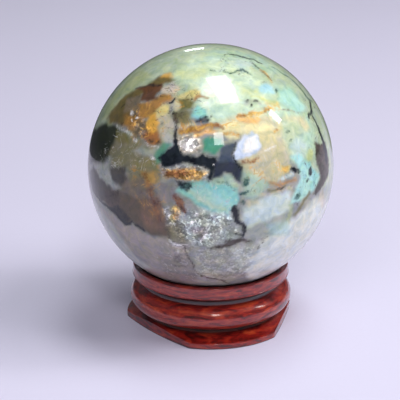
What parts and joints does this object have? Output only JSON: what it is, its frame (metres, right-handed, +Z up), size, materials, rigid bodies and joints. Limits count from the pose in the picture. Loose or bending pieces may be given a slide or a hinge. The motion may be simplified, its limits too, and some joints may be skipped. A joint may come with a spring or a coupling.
{
  "type": "decorative stone sphere on a turned wooden stand",
  "caption": "Polished round ornament of mixed blue-green, rust and milky stone, held upright by a turned and lacquered wooden ring stand.",
  "frame": {"origin": "middle of the stand's underside, on the axis of the ball and of the turned stand", "axes": "+Z up through the ball, -Y towards the viewer of the stone's finest side, +X to that viewer's right"},
  "size_m": [0.06, 0.06, 0.0694],
  "materials": {
    "stone": "mixed blue-green, rust, black and milky quartz stone, polished to a mirror gloss",
    "lacquered_wood": "turned wood under red-brown gloss lacquer, dark stain in the grooves"
  },
  "bodies": {
    "root": {"stone_sphere": "stone", "wood_stand": "lacquered_wood"}
  },
  "joints": []
}
